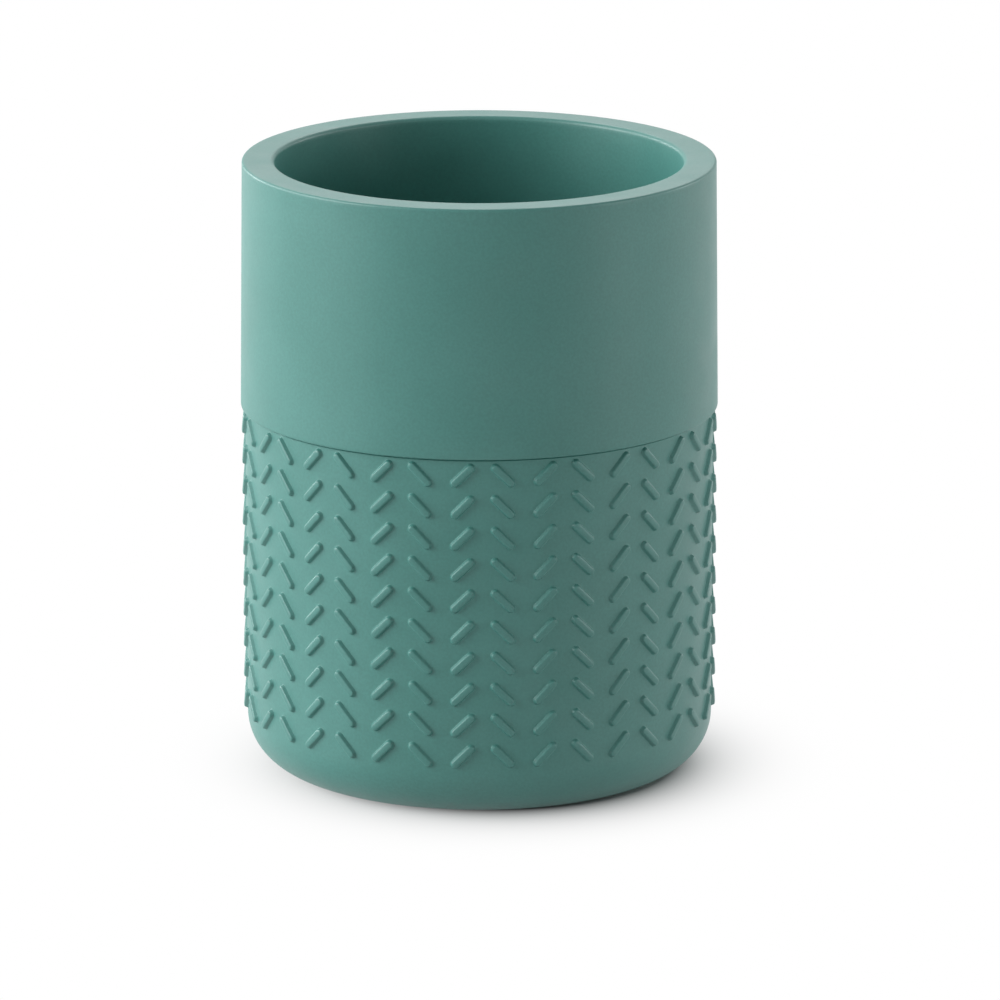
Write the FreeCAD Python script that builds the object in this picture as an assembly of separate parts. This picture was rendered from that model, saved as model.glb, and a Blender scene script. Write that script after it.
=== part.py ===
import FreeCAD, Part
import math
import os

# Bathroom tumbler: a smooth collar bonded over a textured cup that stands on an anti-slip disc.
# Millimetres, +Z up, origin on the table under the middle of the cup, -Y is the front.

# Overall sizes
HEIGHT = 102.6  # table to rim
WALL_DIAMETER = 77.4  # bare wall between the raised dashes

# Smooth collar
COLLAR_HEIGHT = 41.2  # rim down to the collar's lower edge
COLLAR_OVERHANG = 0.75  # how far the lower edge stands out from the wall
COLLAR_DRAFT = 0.45  # radius lost from the lower edge up to the rim
COLLAR_EDGE_ROUND = 0.3
RIM_WALL = 5.4  # thickness at the rim
RIM_OUTER_ROUND = 0.45
RIM_INNER_ROUND = 0.7

# Inside
FLOOR_THICKNESS = 8.0  # underside of the foot up to the inner floor
FLOOR_ROUND = 6.0
INSIDE_DRAFT = 1.2  # radius lost from the rim down to the floor

# Lap joint between collar and cup
LAP_HEIGHT = 14.0  # how far the cup's spigot reaches up inside the collar
LAP_WALL = 2.6  # thickness of the spigot at its foot
BOND_GAP = 0.1  # glue line around and above the spigot

# Foot and grip disc
FOOT_ROUND = 8.6
DISC_MARGIN = 4.0  # bare ring of flat foot around the recess
DISC_RECESS = 1.5  # depth of the recess
DISC_PROUD = 0.4  # how far the disc stands below the foot
DISC_CLEARANCE = 0.15  # radial gap between disc and recess
DISC_EDGE_ROUND = 0.3

# Raised herringbone dashes
COLUMN_PAIRS = 18  # each pair has one dash leaning right and one leaning left
FIRST_COLUMN_ANGLE = -4.2  # degrees from the front, positive to the right
PAIR_SHIFT = 0.17  # degrees by which the dashes of a pair stand closer together
ROW_PITCH = 5.23
TOP_ROW_DROP = 2.7  # collar's lower edge down to the middle of the first row
DASH_LENGTH = 5.15  # at the wall
DASH_WIDTH = 1.55  # at the wall
DASH_HEIGHT = 0.68
DASH_LEAN = 45.0  # degrees from level
DASH_BEVEL = 0.3  # how far the sides lean in on the way up
DASH_SIDE = 0.66  # height of the leaning sides
DASH_ROOT = 0.6  # depth sunk into the wall

# Radii and heights worked out from the sizes above
WALL_R = WALL_DIAMETER / 2
EDGE_R = WALL_R + COLLAR_OVERHANG
RIM_R = EDGE_R - COLLAR_DRAFT
INNER_RIM_R = RIM_R - RIM_WALL
FOOT_Z = DISC_PROUD
FLOOR_Z = FOOT_Z + FLOOR_THICKNESS
SHOULDER_Z = HEIGHT - COLLAR_HEIGHT
SPIGOT_TOP_Z = SHOULDER_Z + LAP_HEIGHT
SOCKET_TOP_Z = SPIGOT_TOP_Z + BOND_GAP
RECESS_TOP_Z = FOOT_Z + DISC_RECESS
RECESS_R = WALL_R - FOOT_ROUND - DISC_MARGIN
DISC_R = RECESS_R - DISC_CLEARANCE


def inner_radius(z):
    """Radius of the tapered inside at height z, shared by the collar and the cup."""
    depth = (HEIGHT - z) / (HEIGHT - FLOOR_Z)
    return INNER_RIM_R - INSIDE_DRAFT * depth


SPIGOT_R = inner_radius(SHOULDER_Z) + LAP_WALL
SOCKET_R = SPIGOT_R + BOND_GAP


def section_point(radius, z):
    """Point of a turned section, on the plane that is spun about Z."""
    return FreeCAD.Vector(radius, 0, z)


def section_lines(corners):
    """Straight edges through the corners of a turned section, given as radius and height."""
    points = [section_point(radius, z) for radius, z in corners]
    return [Part.LineSegment(a, b).toShape() for a, b in zip(points, points[1:])]


def spin(edges):
    """Solid of revolution about Z of a closed section."""
    face = Part.Face(Part.Wire(edges))
    return face.revolve(FreeCAD.Vector(0, 0, 0), FreeCAD.Vector(0, 0, 1), 360)


def round_rim(solid, radius, z, fillet):
    """Rounds the circular edge that lies at this radius and height."""
    near = 1e-4
    edges = []
    for edge in solid.Edges:
        if not isinstance(edge.Curve, Part.Circle):
            continue
        if abs(edge.Curve.Radius - radius) < near and abs(edge.Curve.Center.z - z) < near:
            edges.append(edge)
    return solid.makeFillet(fillet, edges)


def make_collar():
    """Upper ring: flat rim, crisp lower edge outside and a socket for the spigot inside."""
    corners = [
        (SOCKET_R, SHOULDER_Z),
        (EDGE_R, SHOULDER_Z),
        (RIM_R, HEIGHT),
        (INNER_RIM_R, HEIGHT),
        (inner_radius(SOCKET_TOP_Z), SOCKET_TOP_Z),
        (SOCKET_R, SOCKET_TOP_Z),
        (SOCKET_R, SHOULDER_Z),
    ]
    collar = spin(section_lines(corners))
    collar = round_rim(collar, EDGE_R, SHOULDER_Z, COLLAR_EDGE_ROUND)
    collar = round_rim(collar, RIM_R, HEIGHT, RIM_OUTER_ROUND)
    return round_rim(collar, INNER_RIM_R, HEIGHT, RIM_INNER_ROUND)


def make_plain_cup():
    """Floor, foot, wall and spigot, before the dashes are raised on the wall."""
    corners = [
        (0, RECESS_TOP_Z),
        (RECESS_R, RECESS_TOP_Z),
        (RECESS_R, FOOT_Z),
        (WALL_R, FOOT_Z),
        (WALL_R, SHOULDER_Z),
        (SPIGOT_R, SHOULDER_Z),
        (SPIGOT_R, SPIGOT_TOP_Z),
        (inner_radius(SPIGOT_TOP_Z), SPIGOT_TOP_Z),
        (inner_radius(FLOOR_Z), FLOOR_Z),
        (0, FLOOR_Z),
        (0, RECESS_TOP_Z),
    ]
    cup = spin(section_lines(corners))
    cup = round_rim(cup, WALL_R, FOOT_Z, FOOT_ROUND)
    return round_rim(cup, inner_radius(FLOOR_Z), FLOOR_Z, FLOOR_ROUND)


def make_dash(lean):
    """One bevelled pill on the front of the wall at height zero, turned by lean degrees."""
    end_r = DASH_WIDTH / 2
    half = DASH_LENGTH / 2 - end_r

    def corner(x, y):
        return FreeCAD.Vector(x, y, 0)

    outline = [
        Part.LineSegment(corner(-half, -end_r), corner(half, -end_r)),
        Part.Arc(corner(half, -end_r), corner(half + end_r, 0), corner(half, end_r)),
        Part.LineSegment(corner(half, end_r), corner(-half, end_r)),
        Part.Arc(corner(-half, end_r), corner(-half - end_r, 0), corner(-half, -end_r)),
    ]
    face = Part.Face(Part.Wire([piece.toShape() for piece in outline]))
    thickness = DASH_ROOT + DASH_HEIGHT
    dash = face.extrude(FreeCAD.Vector(0, 0, thickness))
    top_face = max(dash.Faces, key=lambda side: side.CenterOfMass.z)
    dash = dash.makeChamfer(DASH_SIDE, DASH_BEVEL, top_face.Edges)
    dash.rotate(FreeCAD.Vector(0, 0, 0), FreeCAD.Vector(0, 0, 1), lean)
    dash.rotate(FreeCAD.Vector(0, 0, 0), FreeCAD.Vector(1, 0, 0), 90)
    dash.translate(FreeCAD.Vector(0, DASH_ROOT - WALL_R, 0))
    return dash


def dash_rows():
    """Heights of the rows that fit on the straight wall, from the collar down."""
    lean = math.radians(DASH_LEAN)
    reach = (DASH_LENGTH - DASH_WIDTH) / 2 * math.sin(lean) + DASH_WIDTH / 2
    top = SHOULDER_Z - TOP_ROW_DROP
    lowest = FOOT_Z + FOOT_ROUND + reach
    count = int((top - lowest) / ROW_PITCH) + 1
    return [top - row * ROW_PITCH for row in range(count)]


def make_dashes():
    """Every dash of the herringbone, leaning right and left in turn around the wall."""
    leaning = [make_dash(DASH_LEAN), make_dash(-DASH_LEAN)]
    columns = 2 * COLUMN_PAIRS
    dashes = []
    for column in range(columns):
        angle = FIRST_COLUMN_ANGLE + column * 360 / columns
        angle += PAIR_SHIFT if column % 2 == 0 else -PAIR_SHIFT
        for z in dash_rows():
            dash = leaning[column % 2].copy()
            dash.translate(FreeCAD.Vector(0, 0, z))
            dash.rotate(FreeCAD.Vector(0, 0, 0), FreeCAD.Vector(0, 0, 1), angle)
            dashes.append(dash)
    return dashes


def make_cup():
    """Cup with its raised dashes, cast as one solid."""
    return make_plain_cup().multiFuse(make_dashes()).Solids[0]


def make_disc():
    """Anti-slip disc, seated against the top of its recess."""
    disc = Part.makeCylinder(DISC_R, RECESS_TOP_Z)
    return round_rim(disc, DISC_R, 0, DISC_EDGE_ROUND)


def main():
    os.makedirs("parts", exist_ok=True)
    pieces = {
        "smooth_collar": make_collar(),
        "textured_cup": make_cup(),
        "grip_disc": make_disc(),
    }
    for name, shape in pieces.items():
        box = shape.BoundBox
        print(name, shape.isValid(), len(shape.Solids), round(shape.Volume), round(box.ZMin, 2), round(box.ZMax, 2))
        shape.exportStep(os.path.join("parts", name + ".step"))


main()
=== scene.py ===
import math
import random

import bmesh
import bpy
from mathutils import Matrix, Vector


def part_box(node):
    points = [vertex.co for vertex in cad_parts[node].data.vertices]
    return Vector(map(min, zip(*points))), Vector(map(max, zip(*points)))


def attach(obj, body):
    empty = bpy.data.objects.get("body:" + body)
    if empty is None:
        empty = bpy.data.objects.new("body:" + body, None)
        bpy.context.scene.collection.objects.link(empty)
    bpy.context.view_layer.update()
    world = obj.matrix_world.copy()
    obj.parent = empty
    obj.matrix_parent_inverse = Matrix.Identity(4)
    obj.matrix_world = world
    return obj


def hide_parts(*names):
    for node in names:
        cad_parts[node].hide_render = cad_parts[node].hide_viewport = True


# Bathroom tumbler in satin resin: metres, +Z up, -Y is the front.
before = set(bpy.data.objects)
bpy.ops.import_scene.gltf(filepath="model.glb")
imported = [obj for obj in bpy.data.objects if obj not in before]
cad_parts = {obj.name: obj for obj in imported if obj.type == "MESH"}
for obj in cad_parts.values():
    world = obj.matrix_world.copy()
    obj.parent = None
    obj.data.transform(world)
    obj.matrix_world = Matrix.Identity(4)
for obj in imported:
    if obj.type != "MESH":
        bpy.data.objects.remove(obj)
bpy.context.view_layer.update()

MM = 0.001
ROOT = "root"
DISC_NODE = "grip_disc"

# Heights and radii read from the frame
collar_low, collar_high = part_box("smooth_collar")
cup_low, cup_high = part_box("textured_cup")
disc_low, disc_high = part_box(DISC_NODE)
RIM_Z = float(collar_high[2])
SHOULDER_Z = float(collar_low[2])
SPIGOT_TOP_Z = float(cup_high[2])
FOOT_Z = float(cup_low[2])
RECESS_TOP_Z = float(disc_high[2])
DISC_Z = float(disc_low[2])
EDGE_R = float(collar_high[0])
DISC_R = float(disc_high[0])

# Sizes of the collar, the inside and the joint
COLLAR_OVERHANG = 0.75 * MM
COLLAR_DRAFT = 0.45 * MM
COLLAR_EDGE_ROUND = 0.3 * MM
SEAM_HEIGHT = 0.3 * MM
SEAM_DEPTH = 0.2 * MM
RIM_WALL = 5.4 * MM
RIM_OUTER_ROUND = 0.45 * MM
RIM_INNER_ROUND = 0.7 * MM
FLOOR_THICKNESS = 8.0 * MM
FLOOR_ROUND = 6.0 * MM
INSIDE_DRAFT = 1.2 * MM
LAP_WALL = 2.6 * MM
BOND_GAP = 0.1 * MM
FOOT_ROUND = 8.6 * MM
RECESS_CLEARANCE = 0.15 * MM
DISC_EDGE_ROUND = 0.3 * MM
COLLAR_SUPPORT = 0.5 * MM  # from the wall or a round to the next ring of points
FOOT_SUPPORT = 0.4 * MM  # the same on the flat of the foot

# Sizes of the raised dashes
COLUMN_PAIRS = 18
COLUMNS = 2 * COLUMN_PAIRS
ROWS = 10
FIRST_COLUMN_ANGLE = -4.2  # degrees from the front, positive to the right
PAIR_SHIFT = 0.17  # degrees by which the dashes of a pair stand closer together
ROW_PITCH = 5.23 * MM
TOP_ROW_DROP = 2.7 * MM
DASH_LENGTH = 5.15 * MM
DASH_WIDTH = 1.55 * MM
DASH_HEIGHT = 0.68 * MM
DASH_LEAN = 45.0  # degrees from level
DASH_BEVEL = 0.3 * MM  # how far the sides lean in on the way up
DASH_FOOT_ROUND = 0.05 * MM
DASH_EDGE_ROUND = 0.3 * MM
DASH_CROWN = 0.04 * MM  # rise from the rounded edge to the line along the top
DASH_SURROUND = 0.3 * MM  # bare wall in the ring of faces around a dash

# Unevenness of the dashes, as lowest and highest: shares, then degrees, then metres
UNEVEN_SEED = 11
UNEVEN_LENGTH = (0.985, 1.015)
UNEVEN_WIDTH = (0.98, 1.03)
UNEVEN_RISE = (0.93, 1.0)
UNEVEN_LEAN = (-0.8, 0.8)
UNEVEN_SHIFT = (-0.03 * MM, 0.03 * MM)

# Radii and heights worked out from the values above
WALL_R = EDGE_R - COLLAR_OVERHANG
RIM_R = EDGE_R - COLLAR_DRAFT
INNER_RIM_R = RIM_R - RIM_WALL
FLOOR_Z = FOOT_Z + FLOOR_THICKNESS
SOCKET_TOP_Z = SPIGOT_TOP_Z + BOND_GAP
RECESS_R = DISC_R + RECESS_CLEARANCE

# Paints: colours as linear light, and ranges as lowest and highest
TEAL_DEEP = (0.072, 0.264, 0.232)
TEAL_LIGHT = (0.082, 0.284, 0.252)
TEAL_ROUGHNESS = (0.38, 0.46)
TEAL_IOR = 1.5
TEAL_SPECULAR = 0.65
SPECKLE = (0.95, 1.05)
RUBBER_DEEP = (0.030, 0.032, 0.033)
RUBBER_LIGHT = (0.052, 0.055, 0.056)
RUBBER_ROUGHNESS = (0.72, 0.9)
PAPER = (0.60, 0.60, 0.60, 1)
WHITE = (1, 1, 1, 1)

# Sizes of the features in the paints, and depths of the bumps
CLOUD_SIZE = 18 * MM
SHEEN_SIZE = 7 * MM
SPECKLE_SIZE = 0.45 * MM
CAST_SIZE = 5 * MM
CAST_DEPTH = 0.012 * MM
GRAIN_SIZE = 0.4 * MM
GRAIN_DEPTH = 0.010 * MM
RUBBER_CLOUD_SIZE = 4 * MM
RUBBER_SHEEN_SIZE = 2 * MM
PEBBLE_SIZE = 0.7 * MM
PEBBLE_DEPTH = 0.06 * MM

# Detail of the noises, and the band that most of a noise lies in
CLOUD_DETAIL = 4.0
SHEEN_DETAIL = 3.0
BUMP_DETAIL = 2.0
SPECKLE_DETAIL = 1.0
CLOUD_BAND = (0.35, 0.65)
NOISE_BAND = (0.3, 0.7)

# Stage: near the tumbler the floor is grey paper up to the first reach, a painted shadow that also
# takes the real shadow, and it is plain white past the second
FLOOR_SIZE = 8.0
PAINTED_SHADOW_REACH = (29.5 * MM, 66 * MM)
PAINTED_SHADOW_FALL = 4.5
PAINTED_SHADOW_MIDDLE = (3.4 * MM, -0.3 * MM, 0)
AMBIENT_LEVEL = 0.13

# Lamps: name, azimuth and elevation in degrees, width and height, level
LAMP_DISTANCE = 2.0
LAMPS = (
    ("key_left", -81, 20, (1.8, 1.3), 1.03),
    ("high_left", -84, 55, (0.9, 0.9), 0.04),
    ("back_left", -130, 8, (0.9, 0.6), 0.28),
    ("card_right", 112, 8, (0.9, 0.6), 0.16),
    ("front_right", 70, 5, (0.9, 0.6), 0.17),
    ("back_top", 180, 42, (1.4, 0.9), 0.30),
)

# Camera
PHOTO_SIDE = 1000
MIDDLE_PIXEL = (479.4, 460.9)  # where the photo has the middle of the tumbler
PIXELS_PER_MM = 6.03  # at the tumbler's axis
CAMERA_DISTANCE = 1.3
SENSOR_WIDTH = 36.0
CAMERA_ELEVATION = 14.35  # degrees

# Mesh density, with as many points around a dash as around the cell that it stands in
CELL_STEPS = 8
SEGMENTS = COLUMNS * CELL_STEPS
CAP_STEPS = 10
SIDE_STEPS = 2 * CELL_STEPS - CAP_STEPS
DASH_FOOT_STEPS = 2
DASH_EDGE_STEPS = 4
SMALL_ROUND_STEPS = 6
COLLAR_STEPS = 12
COLLAR_INSIDE_STEPS = 10
RIM_STEPS = 5
FOOT_ROUND_STEPS = 24
FLOOR_ROUND_STEPS = 12
CUP_INSIDE_STEPS = 12
CUP_FLOOR_STEPS = 5
DISC_STEPS = 6
DISC_ROUND_STEPS = 5
SHARP_ANGLE = math.radians(50)


def inner_radius(z):
    """Radius of the tapered inside at height z."""
    depth = (RIM_Z - z) / (RIM_Z - FLOOR_Z)
    return INNER_RIM_R - INSIDE_DRAFT * depth


SPIGOT_R = inner_radius(SHOULDER_Z) + LAP_WALL
SOCKET_R = SPIGOT_R + BOND_GAP


def outer_radius(z):
    """Radius of the cup's plain wall at height z, the foot's round included."""
    drop = FOOT_Z + FOOT_ROUND - z
    if drop <= 0:
        return WALL_R
    return WALL_R - FOOT_ROUND + math.sqrt(FOOT_ROUND ** 2 - drop ** 2)


def around(angle, radius, z):
    """Point at an angle in degrees from the front, positive to the right."""
    turn = math.radians(angle)
    return (radius * math.sin(turn), -radius * math.cos(turn), z)


def arc(centre, radius, start, stop, steps):
    """Points of a round in a turned section, with angles in degrees from level outward."""
    points = []
    for step in range(steps + 1):
        turn = math.radians(start + (stop - start) * step / steps)
        points.append((centre[0] + radius * math.cos(turn), centre[1] + radius * math.sin(turn)))
    return points


def straight(start, stop, steps):
    """Points between two ends of a straight stretch, without the ends."""
    shares = [step / steps for step in range(1, steps)]
    return [(start[0] + (stop[0] - start[0]) * t, start[1] + (stop[1] - start[1]) * t) for t in shares]


class Shell:
    """Vertices and faces of one piece, welded where they meet."""

    weld = 0.002 * MM

    def __init__(self):
        self.points = []
        self.faces = []

    def add(self, points):
        start = len(self.points)
        self.points.extend(points)
        return list(range(start, start + len(points)))

    def ring(self, radius, z):
        """One closed ring of points, in step with the edges of the dash cells."""
        first = FIRST_COLUMN_ANGLE - 180 / COLUMNS
        angles = [first + 360 * step / SEGMENTS for step in range(SEGMENTS)]
        return self.add([around(angle, radius, z) for angle in angles])

    def join(self, lower, upper):
        """Quads between two rings, facing right of the way from lower to upper."""
        for here in range(SEGMENTS):
            there = (here + 1) % SEGMENTS
            self.faces.append((lower[here], lower[there], upper[there], upper[here]))

    def lathe(self, section, closed=False):
        """Surface spun from a section of radius and height, with its outside on the right."""
        rings = []
        for radius, z in section:
            rings.append(self.add([(0, 0, z)]) if radius == 0 else self.ring(radius, z))
        if closed:
            rings.append(rings[0])
        for lower, upper in zip(rings, rings[1:]):
            if len(lower) == 1:
                self.fan(upper, lower[0], False)
            elif len(upper) == 1:
                self.fan(lower, upper[0], True)
            else:
                self.join(lower, upper)

    def fan(self, ring, middle, inward):
        """Triangles from a ring to a point on the axis."""
        for here in range(SEGMENTS):
            there = (here + 1) % SEGMENTS
            edge = (ring[here], ring[there]) if inward else (ring[there], ring[here])
            self.faces.append((*edge, middle))

    def make(self, name, material):
        """Mesh object that rides on the tumbler."""
        mesh = bpy.data.meshes.new(name)
        mesh.from_pydata(self.points, [], self.faces)
        work = bmesh.new()
        work.from_mesh(mesh)
        bmesh.ops.remove_doubles(work, verts=work.verts, dist=self.weld)
        work.to_mesh(mesh)
        work.free()
        mesh.shade_smooth()
        mesh.set_sharp_from_angle(angle=SHARP_ANGLE)
        mesh.materials.append(material)
        piece = bpy.data.objects.new(name, mesh)
        bpy.context.scene.collection.objects.link(piece)
        return piece


def collar_section():
    """Closed section of the collar, from its seat up the outside and down the inside."""
    edge_centre = (EDGE_R - COLLAR_EDGE_ROUND, SHOULDER_Z + COLLAR_EDGE_ROUND)
    outer_centre = (RIM_R - RIM_OUTER_ROUND, RIM_Z - RIM_OUTER_ROUND)
    inner_centre = (INNER_RIM_R + RIM_INNER_ROUND, RIM_Z - RIM_INNER_ROUND)
    section = [(SOCKET_R, SHOULDER_Z), (WALL_R - COLLAR_SUPPORT, SHOULDER_Z)]
    section += arc(edge_centre, COLLAR_EDGE_ROUND, -90, 0, SMALL_ROUND_STEPS)
    lower = (EDGE_R, edge_centre[1] + COLLAR_SUPPORT)
    upper = (RIM_R, outer_centre[1] - COLLAR_SUPPORT)
    section += [lower] + straight(lower, upper, COLLAR_STEPS) + [upper]
    section += arc(outer_centre, RIM_OUTER_ROUND, 0, 90, SMALL_ROUND_STEPS)
    section += straight((outer_centre[0], RIM_Z), (inner_centre[0], RIM_Z), RIM_STEPS)
    section += arc(inner_centre, RIM_INNER_ROUND, 90, 180, SMALL_ROUND_STEPS)
    mouth_z = inner_centre[1] - COLLAR_SUPPORT
    mouth = (inner_radius(mouth_z), mouth_z)
    seam = (inner_radius(SOCKET_TOP_Z), SOCKET_TOP_Z)
    section += [mouth] + straight(mouth, seam, COLLAR_INSIDE_STEPS)
    section += [seam, (SOCKET_R, SOCKET_TOP_Z)]
    return section


def make_collar(material):
    shell = Shell()
    shell.lathe(collar_section(), closed=True)
    return shell.make("smooth_collar_skin", material)


def row_height(row):
    return SHOULDER_Z - TOP_ROW_DROP - row * ROW_PITCH


def cell_edges(row):
    """Lower and upper edge of the strip of wall that a row of dashes stands on."""
    middle = row_height(row)
    upper = SHOULDER_Z - SEAM_HEIGHT if row == 0 else middle + ROW_PITCH / 2
    return middle - ROW_PITCH / 2, upper


def pill_outline():
    """Places around a pill as spine share from -1 to 1 and angle, starting below its right end."""
    quarter = 90
    places = []
    for side in (1, -1):
        first = -quarter if side > 0 else quarter
        places += [(side, first + 2 * quarter * step / CAP_STEPS) for step in range(CAP_STEPS + 1)]
        turn = first + 2 * quarter
        places += [(side * (1 - 2 * step / SIDE_STEPS), turn) for step in range(1, SIDE_STEPS)]
    return places


def dash_levels():
    """Insets from a dash's outline and heights above the wall, from the wall to the top edge."""
    slope = math.atan2(DASH_HEIGHT, DASH_BEVEL)
    edge_height = DASH_HEIGHT - DASH_CROWN
    reach = math.tan(slope / 2)
    levels = [(-DASH_SURROUND, 0.0)]
    start = -DASH_FOOT_ROUND * reach
    for step in range(DASH_FOOT_STEPS + 1):
        turn = slope * step / DASH_FOOT_STEPS
        lift = DASH_FOOT_ROUND * (1 - math.cos(turn))
        levels.append((start + DASH_FOOT_ROUND * math.sin(turn), lift))
    stop = edge_height / math.tan(slope) + DASH_EDGE_ROUND * reach
    for step in range(DASH_EDGE_STEPS + 1):
        turn = slope * (1 - step / DASH_EDGE_STEPS)
        drop = DASH_EDGE_ROUND * (1 - math.cos(turn))
        levels.append((stop - DASH_EDGE_ROUND * math.sin(turn), edge_height - drop))
    return levels


class Dash:
    """One bevelled dash with the small unevenness of a casting."""

    def __init__(self, chance):
        self.length = DASH_LENGTH * chance.uniform(*UNEVEN_LENGTH)
        self.half_width = DASH_WIDTH / 2 * chance.uniform(*UNEVEN_WIDTH)
        self.rise = chance.uniform(*UNEVEN_RISE)
        self.lean = math.radians(DASH_LEAN + chance.uniform(*UNEVEN_LEAN))
        closer = math.radians(PAIR_SHIFT) * WALL_R
        self.shift = (closer + chance.uniform(*UNEVEN_SHIFT), chance.uniform(*UNEVEN_SHIFT))

    def place(self, along, across):
        """Place on the wall, right and up from the middle of the cell."""
        right = along * math.cos(self.lean) - across * math.sin(self.lean)
        up = along * math.sin(self.lean) + across * math.cos(self.lean)
        return right + self.shift[0], up + self.shift[1]

    def ring(self, inset):
        reach = self.half_width - inset
        spine = self.length / 2 - self.half_width
        places = []
        for share, angle in pill_outline():
            turn = math.radians(angle)
            places.append(self.place(share * spine + reach * math.cos(turn), reach * math.sin(turn)))
        return places

    def spine(self):
        spine = self.length / 2 - self.half_width
        return [self.place(spine * (1 - 2 * step / SIDE_STEPS), 0) for step in range(SIDE_STEPS + 1)]


def cell_border(low, high, half_arc):
    """Border of a cell, in step with the pill's outline, as right and up from the row's height."""
    corners = [(half_arc, high), (-half_arc, high), (-half_arc, low), (half_arc, low)]
    border = []
    for here, there in zip(corners, corners[1:] + corners[:1]):
        for step in range(CELL_STEPS):
            t = step / CELL_STEPS
            border.append((here[0] + (there[0] - here[0]) * t, here[1] + (there[1] - here[1]) * t))
    lead = CAP_STEPS // 2
    return border[-lead:] + border[:-lead]


def add_cell(shell, column, row, dash):
    """One dash and the patch of wall that it stands on."""
    side = 1 if column % 2 == 0 else -1
    middle = FIRST_COLUMN_ANGLE + column * 360 / COLUMNS
    row_z = row_height(row)
    low, high = cell_edges(row)
    half_arc = math.pi / COLUMNS * WALL_R

    def on_wall(places, raised):
        points = []
        for right, up in places:
            z = row_z + up
            angle = middle + math.degrees(side * right / WALL_R)
            points.append(around(angle, outer_radius(z) + raised, z))
        return shell.add(points)

    rings = [on_wall(cell_border(low - row_z, high - row_z, half_arc), 0)]
    for inset, height in dash_levels():
        rings.append(on_wall(dash.ring(inset), height * dash.rise))
    spine = on_wall(dash.spine(), DASH_HEIGHT * dash.rise)
    faces = []
    count = len(rings[0])
    for outer, inner in zip(rings, rings[1:]):
        for here in range(count):
            there = (here + 1) % count
            faces.append((outer[here], outer[there], inner[there], inner[here]))
    faces += top_faces(rings[-1], spine)
    if side < 0:
        faces = [tuple(reversed(face)) for face in faces]
    shell.faces.extend(faces)


def top_faces(ring, spine):
    """Faces between a dash's highest ring and the line along its top."""
    faces = []
    half = CAP_STEPS + SIDE_STEPS
    for end, line in ((0, spine), (half, spine[::-1])):
        for step in range(CAP_STEPS):
            faces.append((ring[end + step], ring[end + step + 1], line[0]))
        for step in range(SIDE_STEPS):
            here = end + CAP_STEPS + step
            there = (here + 1) % len(ring)
            faces.append((ring[here], ring[there], line[step + 1], line[step]))
    return faces


def cup_lower_section():
    """Underside of the cup, from its middle out and up to the lowest row of dashes."""
    foot_centre = (WALL_R - FOOT_ROUND, FOOT_Z + FOOT_ROUND)
    low = cell_edges(ROWS - 1)[0]
    stop = math.degrees(math.asin((low - foot_centre[1]) / FOOT_ROUND))
    section = [(0, RECESS_TOP_Z), (RECESS_R, RECESS_TOP_Z), (RECESS_R, FOOT_Z)]
    section += [(RECESS_R + FOOT_SUPPORT, FOOT_Z), (foot_centre[0] - FOOT_SUPPORT, FOOT_Z)]
    section += arc(foot_centre, FOOT_ROUND, -90, stop, FOOT_ROUND_STEPS)
    return section


def cup_upper_section():
    """Groove under the collar, spigot and inside of the cup, ending in the middle of the floor."""
    floor_r = inner_radius(FLOOR_Z + FLOOR_ROUND) - FLOOR_ROUND
    floor_centre = (floor_r, FLOOR_Z + FLOOR_ROUND)
    spigot_inside = (inner_radius(SPIGOT_TOP_Z), SPIGOT_TOP_Z)
    seam_r = WALL_R - SEAM_DEPTH
    section = [(WALL_R, SHOULDER_Z - SEAM_HEIGHT)]
    section += [(seam_r, SHOULDER_Z - SEAM_HEIGHT / 2), (seam_r, SHOULDER_Z)]
    section += [(SPIGOT_R, SHOULDER_Z), (SPIGOT_R, SPIGOT_TOP_Z), spigot_inside]
    floor_arc = arc(floor_centre, FLOOR_ROUND, 0, -90, FLOOR_ROUND_STEPS)
    section += straight(spigot_inside, floor_arc[0], CUP_INSIDE_STEPS) + floor_arc
    section += straight(floor_arc[-1], (0, FLOOR_Z), CUP_FLOOR_STEPS) + [(0, FLOOR_Z)]
    return section


def make_cup(material):
    chance = random.Random(UNEVEN_SEED)
    shell = Shell()
    shell.lathe(cup_lower_section())
    for row in range(ROWS):
        for column in range(COLUMNS):
            add_cell(shell, column, row, Dash(chance))
    shell.lathe(cup_upper_section())
    return shell.make("textured_cup_skin", material)


def make_disc(material):
    edge_centre = (DISC_R - DISC_EDGE_ROUND, DISC_Z + DISC_EDGE_ROUND)
    middle = (0, DISC_Z)
    section = [middle] + straight(middle, (edge_centre[0], DISC_Z), DISC_STEPS)
    section += arc(edge_centre, DISC_EDGE_ROUND, -90, 0, DISC_ROUND_STEPS)
    section += [(DISC_R, RECESS_TOP_Z), (0, RECESS_TOP_Z)]
    shell = Shell()
    shell.lathe(section)
    return shell.make("grip_disc_skin", material)


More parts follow.
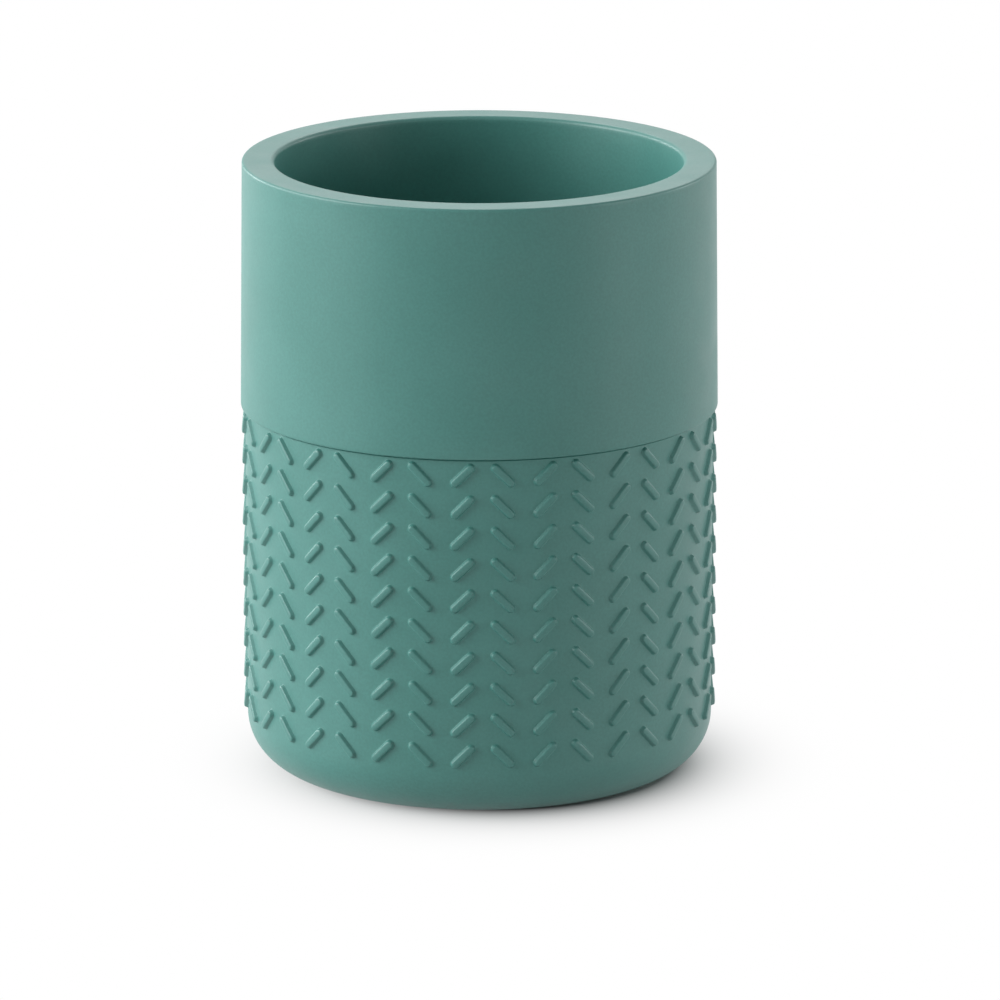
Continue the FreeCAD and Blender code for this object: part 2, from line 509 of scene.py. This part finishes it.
class Nodes:
    """Short way to add and link the nodes of one material."""

    def __init__(self, name):
        self.material = bpy.data.materials.new(name)
        self.material.use_nodes = True
        self.tree = self.material.node_tree
        self.shader = self.tree.nodes["Principled BSDF"]
        self.place = self.add("ShaderNodeTexCoord").outputs["Object"]

    def add(self, kind):
        return self.tree.nodes.new(kind)

    def link(self, start, end):
        self.tree.links.new(start, end)

    def noise(self, feature, detail=SHEEN_DETAIL):
        """Noise with features of this size in metres."""
        node = self.add("ShaderNodeTexNoise")
        node.inputs["Scale"].default_value = 1 / feature
        node.inputs["Detail"].default_value = detail
        self.link(self.place, node.inputs["Vector"])
        return node.outputs["Fac"]

    def cells(self, feature):
        """Distance from the middle of scattered cells of this size in metres."""
        node = self.add("ShaderNodeTexVoronoi")
        node.inputs["Scale"].default_value = 1 / feature
        self.link(self.place, node.inputs["Vector"])
        return node.outputs["Distance"]

    def spread(self, value, low, high):
        """Stretches the band that a noise lies in to between low and high."""
        node = self.add("ShaderNodeMapRange")
        node.inputs["From Min"].default_value = NOISE_BAND[0]
        node.inputs["From Max"].default_value = NOISE_BAND[1]
        node.inputs["To Min"].default_value = low
        node.inputs["To Max"].default_value = high
        self.link(value, node.inputs["Value"])
        return node.outputs["Result"]

    def tint(self, value, band, colours):
        """Colour that goes from the first to the second as a value crosses a band."""
        node = self.add("ShaderNodeValToRGB")
        for element, position, colour in zip(node.color_ramp.elements, band, colours):
            element.position = position
            element.color = (*colour, 1)
        self.link(value, node.inputs["Fac"])
        return node.outputs["Color"]

    def dim(self, colour, share):
        """Colour made darker or lighter by a share."""
        node = self.add("ShaderNodeVectorMath")
        node.operation = "SCALE"
        self.link(colour, node.inputs[0])
        self.link(share, node.inputs["Scale"])
        return node.outputs["Vector"]

    def bump(self, height, depth, before=None):
        """Normal that is pushed about by a height, of this depth in metres."""
        node = self.add("ShaderNodeBump")
        node.inputs["Strength"].default_value = 1.0
        node.inputs["Distance"].default_value = depth
        self.link(height, node.inputs["Height"])
        if before is not None:
            self.link(before, node.inputs["Normal"])
        return node.outputs["Normal"]


def satin_resin():
    """Cast resin with a sprayed satin coat: faint clouds of colour and sheen, and a fine grain."""
    nodes = Nodes("satin_paint")
    shade = nodes.noise(CLOUD_SIZE, CLOUD_DETAIL)
    clouds = nodes.tint(shade, CLOUD_BAND, (TEAL_DEEP, TEAL_LIGHT))
    speckle = nodes.spread(nodes.noise(SPECKLE_SIZE, SPECKLE_DETAIL), *SPECKLE)
    colour = nodes.dim(clouds, speckle)
    sheen = nodes.spread(nodes.noise(SHEEN_SIZE), *TEAL_ROUGHNESS)
    cast = nodes.bump(nodes.noise(CAST_SIZE, BUMP_DETAIL), CAST_DEPTH)
    grain = nodes.bump(nodes.noise(GRAIN_SIZE, BUMP_DETAIL), GRAIN_DEPTH, cast)
    nodes.link(colour, nodes.shader.inputs["Base Color"])
    nodes.link(sheen, nodes.shader.inputs["Roughness"])
    nodes.link(grain, nodes.shader.inputs["Normal"])
    nodes.shader.inputs["IOR"].default_value = TEAL_IOR
    nodes.shader.inputs["Specular IOR Level"].default_value = TEAL_SPECULAR
    return nodes.material


def grip_rubber():
    """Dark rubber with a fine pebbled skin."""
    nodes = Nodes("pebbled_rubber")
    shade = nodes.noise(RUBBER_CLOUD_SIZE)
    colour = nodes.tint(shade, NOISE_BAND, (RUBBER_DEEP, RUBBER_LIGHT))
    sheen = nodes.spread(nodes.noise(RUBBER_SHEEN_SIZE), *RUBBER_ROUGHNESS)
    pebbles = nodes.bump(nodes.cells(PEBBLE_SIZE), PEBBLE_DEPTH)
    nodes.link(colour, nodes.shader.inputs["Base Color"])
    nodes.link(sheen, nodes.shader.inputs["Roughness"])
    nodes.link(pebbles, nodes.shader.inputs["Normal"])
    return nodes.material


def math_node(tree, operation, first, second):
    """Result of a sum on two values, each a plain number or the output of another node."""
    node = tree.nodes.new("ShaderNodeMath")
    node.operation = operation
    for value, socket in zip((first, second), node.inputs):
        if isinstance(value, float):
            socket.default_value = value
        else:
            tree.links.new(value, socket)
    return node.outputs[0]


def seen_rays(tree):
    """Value of one for rays from the camera, in gloss or through glass, and else nought."""
    path = tree.nodes.new("ShaderNodeLightPath")
    rays = path.outputs["Is Camera Ray"]
    for name in ("Is Glossy Ray", "Is Transmission Ray"):
        rays = math_node(tree, "MAXIMUM", rays, path.outputs[name])
    return rays


def floor_paper():
    """Paper with a painted shadow: grey close by, where it also takes the tumbler's real shadow, and
    plain white away from it.
    """
    material = bpy.data.materials.new("floor_paper")
    material.use_nodes = True
    tree = material.node_tree
    tree.nodes.clear()
    paper = tree.nodes.new("ShaderNodeBsdfDiffuse")
    paper.inputs["Color"].default_value = PAPER
    white = tree.nodes.new("ShaderNodeEmission")
    white.inputs["Color"].default_value = WHITE
    white.inputs["Strength"].default_value = 1.0
    mix = tree.nodes.new("ShaderNodeMixShader")
    tree.links.new(white_share(tree), mix.inputs[0])
    tree.links.new(paper.outputs[0], mix.inputs[1])
    tree.links.new(white.outputs[0], mix.inputs[2])
    out = tree.nodes.new("ShaderNodeOutputMaterial")
    tree.links.new(mix.outputs[0], out.inputs["Surface"])
    return material


def white_share(tree):
    """Share of plain white by distance from the painted shadow's middle, for rays that show the floor.
    """
    place = tree.nodes.new("ShaderNodeTexCoord")
    reach = tree.nodes.new("ShaderNodeVectorMath")
    reach.operation = "DISTANCE"
    reach.inputs[1].default_value = PAINTED_SHADOW_MIDDLE
    tree.links.new(place.outputs["Object"], reach.inputs[0])
    near = tree.nodes.new("ShaderNodeMapRange")
    near.inputs["From Min"].default_value = PAINTED_SHADOW_REACH[0]
    near.inputs["From Max"].default_value = PAINTED_SHADOW_REACH[1]
    near.inputs["To Min"].default_value = 1.0
    near.inputs["To Max"].default_value = 0.0
    tree.links.new(reach.outputs["Value"], near.inputs["Value"])
    # painted shadow: the grey paper fades to plain white as the distance from its middle grows
    shade = math_node(tree, "POWER", near.outputs["Result"], PAINTED_SHADOW_FALL)
    return math_node(tree, "MULTIPLY", math_node(tree, "SUBTRACT", 1.0, shade), seen_rays(tree))


def make_floor():
    mesh = bpy.data.meshes.new("floor")
    half = FLOOR_SIZE / 2
    corners = [(-half, -half, 0), (half, -half, 0), (half, half, 0), (-half, half, 0)]
    mesh.from_pydata(corners, [], [(0, 1, 2, 3)])
    mesh.materials.append(floor_paper())
    floor = bpy.data.objects.new("floor", mesh)
    bpy.context.scene.collection.objects.link(floor)


def make_world():
    """Soft light from all round, and white where it is seen."""
    world = bpy.data.worlds.new("studio")
    bpy.context.scene.world = world
    world.use_nodes = True
    tree = world.node_tree
    tree.nodes.clear()
    soft = tree.nodes.new("ShaderNodeBackground")
    soft.inputs["Color"].default_value = WHITE
    soft.inputs["Strength"].default_value = AMBIENT_LEVEL
    seen = tree.nodes.new("ShaderNodeBackground")
    seen.inputs["Color"].default_value = WHITE
    seen.inputs["Strength"].default_value = 1.0
    mix = tree.nodes.new("ShaderNodeMixShader")
    tree.links.new(seen_rays(tree), mix.inputs[0])
    tree.links.new(soft.outputs[0], mix.inputs[1])
    tree.links.new(seen.outputs[0], mix.inputs[2])
    out = tree.nodes.new("ShaderNodeOutputWorld")
    tree.links.new(mix.outputs[0], out.inputs["Surface"])


def aim(thing, target):
    """Turns a lamp or camera to look at a point."""
    way = Vector(target) - thing.location
    thing.rotation_euler = way.to_track_quat("-Z", "Y").to_euler()


def make_lamp(name, azimuth, elevation, size, level):
    """Soft oblong lamp, with its azimuth in degrees from the front, positive to the right."""
    lamp = bpy.data.lights.new(name, "AREA")
    lamp.shape = "RECTANGLE"
    lamp.size, lamp.size_y = size
    lamp.energy = level * (math.pi * LAMP_DISTANCE) ** 2
    thing = bpy.data.objects.new(name, lamp)
    bpy.context.scene.collection.objects.link(thing)
    rise = math.radians(elevation)
    height = RIM_Z / 2 + LAMP_DISTANCE * math.sin(rise)
    thing.location = around(azimuth, LAMP_DISTANCE * math.cos(rise), height)
    aim(thing, (0, 0, RIM_Z / 2))


def make_camera():
    """Camera at the photo's angle, turned so that the tumbler sits where the photo has it."""
    camera = bpy.data.cameras.new("camera")
    camera.sensor_width = SENSOR_WIDTH
    focal_pixels = PIXELS_PER_MM * CAMERA_DISTANCE / MM
    camera.lens = focal_pixels * SENSOR_WIDTH / PHOTO_SIDE
    thing = bpy.data.objects.new("camera", camera)
    bpy.context.scene.collection.objects.link(thing)
    rise = math.radians(CAMERA_ELEVATION)
    middle = Vector((0, 0, RIM_Z / 2))
    away = Vector((0, -math.cos(rise), math.sin(rise)))
    right = Vector((1, 0, 0))
    up = Vector((0, math.sin(rise), math.cos(rise)))
    thing.location = middle + away * CAMERA_DISTANCE
    side = (PHOTO_SIDE / 2 - MIDDLE_PIXEL[0]) / PIXELS_PER_MM * MM
    drop = (PHOTO_SIDE / 2 - MIDDLE_PIXEL[1]) / PIXELS_PER_MM * MM
    aim(thing, middle + right * side - up * drop)
    bpy.context.scene.camera = thing


def dress(piece, node):
    """Puts a finished piece in the place of its plain solid."""
    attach(piece, ROOT)
    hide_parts(node)


def main():
    bpy.context.scene.view_settings.view_transform = "Standard"
    resin = satin_resin()
    dress(make_collar(resin), "smooth_collar")
    dress(make_cup(resin), "textured_cup")
    dress(make_disc(grip_rubber()), DISC_NODE)
    make_floor()
    make_world()
    for lamp in LAMPS:
        make_lamp(*lamp)
    make_camera()


main()
